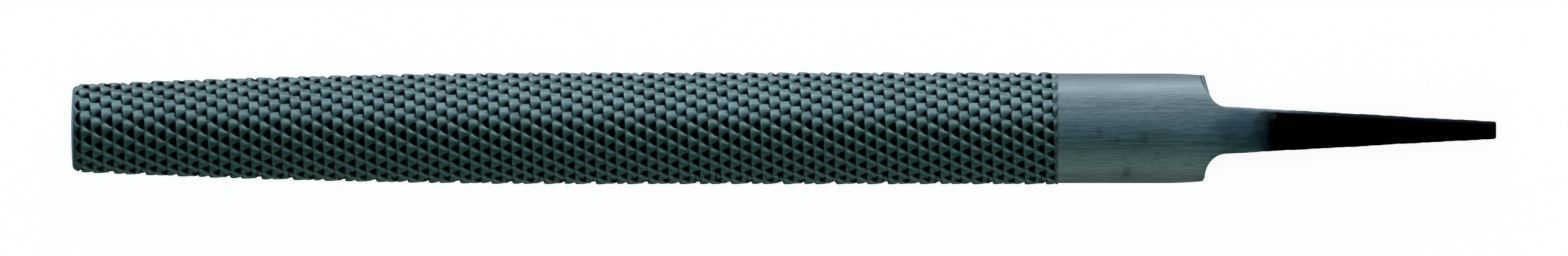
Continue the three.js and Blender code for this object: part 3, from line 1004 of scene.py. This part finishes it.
# Lines of grinding: fine ones and broader bands, how much each weighs, and where a band counts as a streak
FINE_LINES = {"scale": 1.0, "detail": 3.0, "roughness": 0.6, "stretch": (420, 4200, 4200)}
BROAD_LINES = {"scale": 1.0, "detail": 2.0, "roughness": 0.5, "stretch": (60, 2200, 2200)}
FINE_WEIGHT = 0.5
BROAD_WEIGHT = 0.5
STREAK_RANGE = (0.35, 0.65)


def ground_lines_group():
    """Fine lines that grinding along the rasp leaves, with a few broader bands."""
    tree, given, result = group_of("Ground Lines", {"Fine": "value", "Broad": "value"},
                                   {"Lines": "value", "Streak": "value"})
    fine = noise(tree, **FINE_LINES)
    broad = noise(tree, **BROAD_LINES)
    weighed = calculate(tree, "ADD", calculate(tree, "MULTIPLY", fine, given["Fine"]),
                        calculate(tree, "MULTIPLY", broad, given["Broad"]))
    feed(tree, result, {"Lines": weighed, "Streak": ramp(tree, broad, *STREAK_RANGE)})
    return tree


# Mottling: the noise of its patches and of its grain, how fine the patches are on all the steel, and how
# fine the grain is on the teeth
PATCH_NOISE = {"detail": 4.0, "roughness": 0.6}
GRAIN_NOISE = {"detail": 3.0, "roughness": 0.6}
PATCH_SCALE = 300.0
TOOTH_GRAIN_SCALE = 4200.0


def mottle_group():
    """Small uneven patches that heat and handling leave on bare steel, and its grain."""
    tree, given, result = group_of("Steel Mottle", {"Patch": "value", "Grain": "value"},
                                   {"Patches": "value", "Grain": "value"})
    feed(tree, result, {"Patches": noise(tree, given["Patch"], **PATCH_NOISE),
                        "Grain": noise(tree, given["Grain"], **GRAIN_NOISE)})
    return tree


# Heat has tinted the root of the tang. The tint starts and is full at these places along the rasp, and at
# these places across it, towards -Y. Its border is uneven along the rasp
HEAT_START_X = photo_x(1950)
HEAT_FULL_X = photo_x(2062)
HEAT_START_Y = 7.4 * MM
HEAT_FULL_Y = 0.4 * MM
HEAT_NOISE = {"scale": 170.0, "detail": 2.0, "roughness": 0.5, "stretch": (1, 1.6, 1)}
HEAT_UNEVENNESS = 16 * MM
# Old stains on the heel, by the photograph: their places and how far they reach, how dark they are, and
# the range of the patches' noise that breaks them up
STAINS = ((photo_x(1880), photo_y(228), 2.1 * MM), (photo_x(1850), photo_y(283), 2.5 * MM),
          (photo_x(1806), photo_y(216), 1.3 * MM), (photo_x(1836), photo_y(231), 1.2 * MM))
STAIN_SHARE = 0.42
STAIN_RANGE = (0.3, 0.6)
# Smudges darken the steel by up to this share, more and more as the patches' noise rises through this range
SMUDGE_SHARE = 0.25
SMUDGE_RANGE = (0.6, 0.74)
# The ground lines: the range of their noise that counts, how much they change the steel's brightness,
# where they grow faint towards +Y, and the steel's level between dark and bright ones
LINE_RANGE = (0.36, 0.64)
LINE_CONTRAST = 0.58
FAINT_CONTRAST = 0.12
LINE_FAINT_Y = 9 * MM
LINE_FULL_Y = 6 * MM
LINE_LEVEL = 0.96
# Roughness of ground steel, what a streak adds to it, and how strong and deep the lines' relief is
GROUND_ROUGHNESS = 0.34
STREAK_ROUGHNESS = 0.12
LINE_RELIEF = {"strength": 0.2, "distance": 0.03 * MM}


def smudges(tree, place):
    """How dark smudges and stains make the ground steel."""
    patches = use_group(tree, "Steel Mottle", patch=PATCH_SCALE)["Patches"]
    darkness = calculate(tree, "MULTIPLY", ramp(tree, patches, *SMUDGE_RANGE), SMUDGE_SHARE)
    flat_place = node(tree, "ShaderNodeCombineXYZ", {0: place["X"], 1: place["Y"]}).outputs[0]
    for x, y, reach in STAINS:
        away = node(tree, "ShaderNodeVectorMath", {0: flat_place, 1: (x, y, 0)}, operation="DISTANCE")
        stain = calculate(tree, "MULTIPLY", ramp(tree, away.outputs["Value"], reach, 0.0),
                          ramp(tree, patches, *STAIN_RANGE))
        darkness = calculate(tree, "MAXIMUM", darkness,
                             calculate(tree, "MULTIPLY", stain, STAIN_SHARE))
    return darkness


def ground_surface_group():
    """Colour, roughness and normal of ground steel, with its smudges, its stains and the tint of heat."""
    tree, given, result = group_of("Ground Surface", {"Ground": "colour", "Root Tint": "colour"},
                                   {"Color": "colour", "Roughness": "value", "Normal": "normal"})
    ground = use_group(tree, "Ground Lines", fine=FINE_WEIGHT, broad=BROAD_WEIGHT)
    place = axes(tree, own_place(tree))
    contrast = map_value(tree, place["Y"], LINE_FAINT_Y, LINE_FULL_Y, FAINT_CONTRAST, LINE_CONTRAST)
    lines = calculate(tree, "SUBTRACT", ramp(tree, ground["Lines"], *LINE_RANGE), NOISE_MIDDLE)
    level = calculate(tree, "ADD", calculate(tree, "MULTIPLY", lines, contrast), LINE_LEVEL)
    clean = calculate(tree, "SUBTRACT", 1.0, smudges(tree, place))
    level = calculate(tree, "MULTIPLY", level, clean)
    steel = node(tree, "ShaderNodeVectorMath", {0: given["Ground"], "Scale": level},
                 operation="SCALE").outputs["Vector"]
    uneven = calculate(tree, "SUBTRACT", noise(tree, **HEAT_NOISE), NOISE_MIDDLE)
    along = calculate(tree, "ADD", place["X"], calculate(tree, "MULTIPLY", uneven, HEAT_UNEVENNESS))
    heat = calculate(tree, "MULTIPLY", ramp(tree, along, HEAT_START_X, HEAT_FULL_X),
                     ramp(tree, place["Y"], HEAT_START_Y, HEAT_FULL_Y))
    feed(tree, result, {
        "Color": blend_colours(tree, heat, steel, given["Root Tint"], blend_type="MULTIPLY"),
        "Roughness": calculate(tree, "MULTIPLY_ADD", ground["Streak"], STREAK_ROUGHNESS,
                               GROUND_ROUGHNESS),
        "Normal": bump(tree, ground["Lines"], **LINE_RELIEF)})
    return tree


GROUP_MAKERS = {"Steel Mottle": mottle_group, "Ground Lines": ground_lines_group,
                "Ground Surface": ground_surface_group}


def new_material(name):
    """A material with its shader, and nothing else."""
    material = bpy.data.materials.new(name)
    material.use_nodes = True
    tree = material.node_tree
    return material, tree, tree.nodes["Principled BSDF"]


def rgba(values):
    """A setting's colour for a node, which wants an alpha too."""
    return (*values, 1.0)


def attribute(tree, name):
    """A value that the mesh carries."""
    return node(tree, "ShaderNodeAttribute", attribute_name=name).outputs["Fac"]


# Painted shade darkens the teeth towards -Y, the side turned away from the light. It starts at the
# first of these places across, and is full from the second on
SIDE_SHADE_START = 5 * MM
SIDE_SHADE_FULL = -1.5 * MM
# Painted shade: the steel is darker towards the tip, where the light falls off, up to here, by a share
# of the pits' colour
TIP_SHADE_END_X = photo_x(1100)
TIP_SHADE_SHARE = 0.14
# The steel turns into the heel's over the last distance before it, and is bluish on the tip's very end
HEEL_BLEND = 0.9 * MM
END_STRIP = 0.6 * MM
# Dull patches: their brightness, and the range of the patches' noise over which they end
DULL_VALUE = 0.78
DULL_RANGE = (0.3, 0.7)
# How much of the worn steel's colour the crests' wear and the painted highlights take
WORN_SHARE = 0.75
# The painted shade of the pits: how much the grain breaks it up, and the range over which it covers
# the steel
SHADE_GRAIN = 0.06
SHADE_RANGE = (0.1, 0.9)
# Roughness of the teeth, what their grain adds to it, and how strong and deep its relief is
TOOTH_ROUGHNESS = 0.38
GRAIN_ROUGHNESS = 0.2
GRAIN_RELIEF = {"strength": 0.5, "distance": 0.12 * MM}


def toothed_steel(finish):
    """Punched steel: dull on the backs of the teeth, with painted shade in the pits, on the faces, towards
    -Y and towards the tip, and worn steel and painted highlights on the crests, ridges, gaps and rims.
    """
    material, tree, shader = new_material("toothed_steel")
    marks = use_group(tree, "Steel Mottle", patch=PATCH_SCALE, grain=TOOTH_GRAIN_SCALE)
    place = axes(tree, own_place(tree))
    # Painted shade towards -Y, the side turned away from the light
    clean = ramp(tree, place["Y"], SIDE_SHADE_FULL, SIDE_SHADE_START)
    steel = blend_colours(tree, clean, rgba(finish.shaded_teeth), rgba(finish.tooth))
    dull = node(tree, "ShaderNodeHueSaturation", {"Value": DULL_VALUE, "Color": steel}).outputs[0]
    steel = blend_colours(tree, ramp(tree, marks["Patches"], *DULL_RANGE), dull, steel)
    # Worn crests, and painted highlights on the crests, ridges, gaps and rims
    worn = calculate(tree, "MULTIPLY", attribute(tree, "crest"), WORN_SHARE)
    steel = blend_colours(tree, worn, steel, rgba(finish.worn))
    # Painted shade towards the tip, where the light falls off
    old = blend_colours(tree, TIP_SHADE_SHARE, steel, rgba(finish.pit))
    steel = blend_colours(tree, ramp(tree, place["X"], TIP_X, TIP_SHADE_END_X), old, steel)
    at_heel = ramp(tree, place["X"], HEEL_X - HEEL_BLEND, HEEL_X)
    steel = blend_colours(tree, at_heel, steel, rgba(finish.ground))
    at_end = ramp(tree, place["X"], TIP_X + END_STRIP, TIP_X + END_STRIP / 2)
    steel = blend_colours(tree, at_end, steel, rgba(finish.end))
    # Painted shade in the pits, on the faces and on the ground outside the pits' walls
    broken = calculate(tree, "MULTIPLY", marks["Grain"], SHADE_GRAIN)
    painted_shade = calculate(tree, "ADD", attribute(tree, "painted_shade"), broken)
    feed(tree, shader, {
        "Base Color": blend_colours(tree, ramp(tree, painted_shade, *SHADE_RANGE), steel, rgba(finish.pit)),
        "Metallic": 1.0,
        "Roughness": calculate(tree, "MULTIPLY_ADD", marks["Grain"], GRAIN_ROUGHNESS, TOOTH_ROUGHNESS),
        "Normal": bump(tree, marks["Grain"], **GRAIN_RELIEF)})
    return material


# Dark lines of the bevel on the far shoulder, as ranges of its value: the inner one comes and goes, and
# the outer one comes. How dark they are
INNER_SCORE_START = (0.0, 0.12)
INNER_SCORE_END = (0.34, 0.2)
OUTER_SCORE_START = (0.72, 0.84)
SCORE_SHARE = 0.85


def ground_steel(finish):
    """Bare ground steel with fine lines along the rasp and a few dark smudges."""
    material, tree, shader = new_material("ground_steel")
    surface = use_group(tree, "Ground Surface", ground=rgba(finish.ground), root_tint=rgba(finish.root))
    bevel = attribute(tree, "bevel")
    inner = calculate(tree, "MULTIPLY", ramp(tree, bevel, *INNER_SCORE_START),
                      ramp(tree, bevel, *INNER_SCORE_END))
    outer = ramp(tree, bevel, *OUTER_SCORE_START)
    scored = calculate(tree, "MULTIPLY", calculate(tree, "MAXIMUM", inner, outer), SCORE_SHARE)
    feed(tree, shader, {
        "Base Color": blend_colours(tree, scored, surface["Color"], rgba(finish.pit)),
        "Metallic": 1.0, "Roughness": surface["Roughness"], "Normal": surface["Normal"]})
    return material


# Where the black scale is full, by the photograph, and the distance over which it comes to cover the
# steel. A smoky stretch leads up to it: its length, and how much of the scale's black it reaches
SCALE_START_X = photo_x(2092)
SCALE_FADE = 1.5 * MM
SMOKE_LENGTH = 5 * MM
SMOKE_SHARE = 0.75
# Its border bulges towards the tip round a place across the rasp, and draws back towards the far edge
SCALE_BULGE = 1.35 * MM
SCALE_BULGE_Y = -1.9 * MM
SCALE_BULGE_REACH = 2.6 * MM
SCALE_CORNER = 0.5 * MM
SCALE_CORNER_Y = 0.2 * MM
# Its border is ragged too
RAGGED_NOISE = {"scale": 300.0, "detail": 1.5, "roughness": 0.4}
RAGGED_REACH = 5 * MM
# The far edge is rubbed bare: how raggedly, over which range of the edge's value, and how much of the
# rubbing is left past a place further along the tang
RUB_RAGGEDNESS = 0.3
RUB_RANGE = (0.4, 0.7)
RUB_LESS_X = photo_x(2190)
RUB_LEFT_SHARE = 0.22
# The steel stays metal until the scale has hidden its colour
METAL_RANGE = (1.0, 0.9)
SCALE_ROUGHNESS = 0.8
SCALE_SPECULAR = 0.02


def scaled_steel(finish):
    """The tang: ground at its root, black forge scale beyond, rubbed bare along its far upper edge."""
    material, tree, shader = new_material("forge_scale")
    surface = use_group(tree, "Ground Surface", ground=rgba(finish.ground), root_tint=rgba(finish.root))
    place = axes(tree, own_place(tree))
    ragged = calculate(tree, "SUBTRACT", noise(tree, **RAGGED_NOISE), NOISE_MIDDLE)
    from_bulge = calculate(tree, "ABSOLUTE", calculate(tree, "SUBTRACT", place["Y"], SCALE_BULGE_Y))
    bulge = calculate(tree, "MULTIPLY", ramp(tree, from_bulge, SCALE_BULGE_REACH, 0.0), SCALE_BULGE)
    corner = calculate(tree, "MULTIPLY", ramp(tree, place["Y"], SCALE_CORNER_Y, TANG_HIGH[1]),
                       SCALE_CORNER)
    edge = calculate(tree, "ADD", place["X"], calculate(tree, "SUBTRACT", bulge, corner))
    edge = calculate(tree, "ADD", edge, calculate(tree, "MULTIPLY", ragged, RAGGED_REACH))
    smoked = calculate(tree, "MULTIPLY", SMOKE_SHARE,
                       ramp(tree, edge, SCALE_START_X - SMOKE_LENGTH, SCALE_START_X))
    black = calculate(tree, "MAXIMUM", smoked,
                      ramp(tree, edge, SCALE_START_X - SCALE_FADE, SCALE_START_X))
    rub = calculate(tree, "ADD", attribute(tree, "far_edge"),
                    calculate(tree, "MULTIPLY", ragged, RUB_RAGGEDNESS))
    left = map_value(tree, place["X"], SCALE_START_X, RUB_LESS_X, 1.0, RUB_LEFT_SHARE)
    worn = calculate(tree, "MULTIPLY", ramp(tree, rub, *RUB_RANGE), left)
    covered = calculate(tree, "MULTIPLY", black, calculate(tree, "SUBTRACT", 1.0, worn))
    feed(tree, shader, {
        "Base Color": blend_colours(tree, covered, surface["Color"], rgba(finish.scale)),
        "Metallic": ramp(tree, covered, *METAL_RANGE),
        "Roughness": map_value(tree, covered, 0.0, 1.0, surface["Roughness"], SCALE_ROUGHNESS),
        "Normal": surface["Normal"], "Specular IOR Level": SCALE_SPECULAR})
    return material


def floor_material(stage):
    """A pale floor that is plain white to the camera, and still takes the rasp's shadow."""
    material, tree, shader = new_material("floor")
    tree.nodes.remove(shader)
    path = node(tree, "ShaderNodeLightPath").outputs
    seen = calculate(tree, "MULTIPLY", path["Is Camera Ray"], stage.white_share)
    mirrored = calculate(tree, "MAXIMUM", path["Is Glossy Ray"], path["Is Transmission Ray"])
    # Steel mirrors the floor with a painted shadow: bright beyond the rasp and dim in front of it, where
    # the rasp keeps the window's light away
    place = axes(tree, node(tree, "ShaderNodeNewGeometry").outputs["Position"])
    level = map_value(tree, place["Y"], -HALF_WIDTH, HALF_WIDTH, stage.near_floor, stage.far_floor)
    strength = calculate(tree, "ADD", path["Is Camera Ray"],
                         calculate(tree, "MULTIPLY", mirrored, level))
    diffuse = node(tree, "ShaderNodeBsdfDiffuse", {"Color": rgba(stage.floor)})
    glow = node(tree, "ShaderNodeEmission", {"Color": (1, 1, 1, 1), "Strength": strength})
    mix = node(tree, "ShaderNodeMixShader", {0: calculate(tree, "ADD", seen, mirrored),
                                             1: diffuse.outputs[0], 2: glow.outputs[0]})
    feed(tree, tree.nodes["Material Output"], {"Surface": mix.outputs[0]})
    return material


# Stage

# Where the room's five lights lie on the way from -Y to +Y, and how far towards either end of the rasp
# a direction has to point for the room to start growing dim there, and to be dimmest
AIR_SHARES = (0.0, 0.33, 0.55, 0.86, 1.0)
DIM_RANGE = (0.08, 0.6)
FLOOR_HALF_SIDE = 6.0
# The key lamp is a long soft window beyond the rasp
WINDOW_SIZE = (1.6, 0.42)
WINDOW_PLACE = (0, 1.0, 0.17)
WINDOW_TILT_DEGREES = -82
# A broad lamp overhead lights the floor and its shadow, and the steel doesn't mirror it
OVERHEAD_SIZE = (3.0, 3.0)
OVERHEAD_PLACE = (0, 0, 2.6)
CAMERA_HEIGHT = 1.0


def build_room(scene, stage):
    """The room's light, graded by its direction across the rasp and dimmer along it."""
    world = bpy.data.worlds.new("room")
    world.use_nodes = True
    scene.world = world
    tree = world.node_tree
    direction = axes(tree, node(tree, "ShaderNodeTexCoord").outputs["Generated"])
    place = map_value(tree, direction["Y"], -1.0, 1.0)
    shades = node(tree, "ShaderNodeValToRGB", {0: place})
    stops = shades.color_ramp.elements
    airs = (stage.near_air, stage.low_air, stage.high_air, stage.upper_air, stage.far_air)
    for position, air in zip(AIR_SHARES, airs):
        stop = stops.new(position) if 0 < position < 1 else stops[0 if position == 0 else -1]
        stop.color = rgba(air)
    ends = ramp(tree, calculate(tree, "ABSOLUTE", direction["X"]), *DIM_RANGE)
    dimmed = blend_colours(tree, calculate(tree, "MULTIPLY", ends, stage.end_dimming),
                           shades.outputs[0], rgba((0, 0, 0)))
    feed(tree, tree.nodes["Background"], {"Color": dimmed})


def build_floor(stage):
    """A broad floor under the rasp."""
    corners = [(x * FLOOR_HALF_SIDE, y * FLOOR_HALF_SIDE, 0)
               for x, y in ((-1, -1), (1, -1), (1, 1), (-1, 1))]
    mesh = bpy.data.meshes.new("floor")
    mesh.from_pydata(corners, [], [(0, 1, 2, 3)])
    mesh.materials.append(floor_material(stage))
    place_object("floor", mesh)


def build_lamp(name, level, size, place, tilt_degrees=0):
    """A soft lamp that shines down unless it is tilted. Its level is how bright its face is."""
    lamp = bpy.data.lights.new(name, "AREA")
    lamp.shape = "RECTANGLE"
    lamp.size, lamp.size_y = size
    lamp.energy = level * np.pi * size[0] * size[1]
    made = place_object(name, lamp)
    made.location = place
    made.rotation_euler = (np.radians(tilt_degrees), 0, 0)
    return made


def build_camera(scene):
    """The camera looks straight down and frames what the photograph frames."""
    camera = bpy.data.cameras.new("camera")
    camera.type = "ORTHO"
    camera.ortho_scale = PHOTO_WIDTH_PX / PX_PER_METRE
    scene.camera = place_object("camera", camera)
    scene.camera.location = (photo_x(PHOTO_WIDTH_PX / 2), photo_y(PHOTO_HEIGHT_PX / 2), CAMERA_HEIGHT)


# Operators

class RASP_OT_toothed_blade(bpy.types.Operator):
    """Builds the tapered blade with its punched teeth"""
    bl_idname = "rasp.toothed_blade"
    bl_label = "Toothed Blade"

    def execute(self, context):
        settings = context.scene.rasp
        build_toothed_blade(settings, toothed_steel(settings.finish))
        return {"FINISHED"}


class RASP_OT_heel(bpy.types.Operator):
    """Builds the bare ground heel and its two shoulders"""
    bl_idname = "rasp.heel"
    bl_label = "Ground Heel"

    def execute(self, context):
        settings = context.scene.rasp
        build_heel(settings, ground_steel(settings.finish))
        return {"FINISHED"}


class RASP_OT_tang(bpy.types.Operator):
    """Builds the tapered tang with its black scale"""
    bl_idname = "rasp.tang"
    bl_label = "Tang"

    def execute(self, context):
        settings = context.scene.rasp
        build_tang(settings, scaled_steel(settings.finish))
        return {"FINISHED"}


class RASP_OT_stage(bpy.types.Operator):
    """Lays the floor, sets the lamps and the room's light, and places the camera"""
    bl_idname = "rasp.stage"
    bl_label = "Stage"

    def execute(self, context):
        scene = context.scene
        stage = scene.rasp.stage
        scene.view_settings.view_transform = "Standard"
        build_room(scene, stage)
        build_floor(stage)
        build_lamp("window", stage.key_level, WINDOW_SIZE, WINDOW_PLACE, WINDOW_TILT_DEGREES)
        overhead = build_lamp("overhead", stage.fill_level, OVERHEAD_SIZE, OVERHEAD_PLACE)
        overhead.visible_glossy = False
        build_camera(scene)
        return {"FINISHED"}


class RaspSettings(bpy.types.PropertyGroup):
    """All the settings of the rasp."""
    blank: bpy.props.PointerProperty(type=RaspBlank)
    teeth: bpy.props.PointerProperty(type=RaspTeeth)
    heel: bpy.props.PointerProperty(type=RaspHeel)
    tang: bpy.props.PointerProperty(type=RaspTang)
    finish: bpy.props.PointerProperty(type=RaspFinish)
    stage: bpy.props.PointerProperty(type=RaspStage)


OPERATORS = (RASP_OT_toothed_blade, RASP_OT_heel, RASP_OT_tang, RASP_OT_stage)


class RASP_PT_panel(bpy.types.Panel):
    """Sizes, colours and the steps that build the rasp"""
    bl_label = "Half-Round Rasp"
    bl_space_type = "VIEW_3D"
    bl_region_type = "UI"
    bl_category = "Rasp"

    def draw(self, context):
        settings = context.scene.rasp
        for group_name in settings.__annotations__:
            group = getattr(settings, group_name)
            box = self.layout.box()
            box.label(text=group_name.title())
            for name in group.__annotations__:
                box.prop(group, name)
        for operator in OPERATORS:
            self.layout.operator(operator.bl_idname)


CLASSES = (RaspBlank, RaspTeeth, RaspHeel, RaspTang, RaspFinish, RaspStage, RaspSettings,
           *OPERATORS, RASP_PT_panel)


def register():
    for made in CLASSES:
        bpy.utils.register_class(made)
    bpy.types.Scene.rasp = bpy.props.PointerProperty(type=RaspSettings)


def unregister():
    del bpy.types.Scene.rasp
    for made in reversed(CLASSES):
        bpy.utils.unregister_class(made)


def main():
    register()
    bpy.ops.rasp.stage()
    bpy.ops.rasp.toothed_blade()
    bpy.ops.rasp.heel()
    bpy.ops.rasp.tang()


if __name__ == "__main__":
    main()
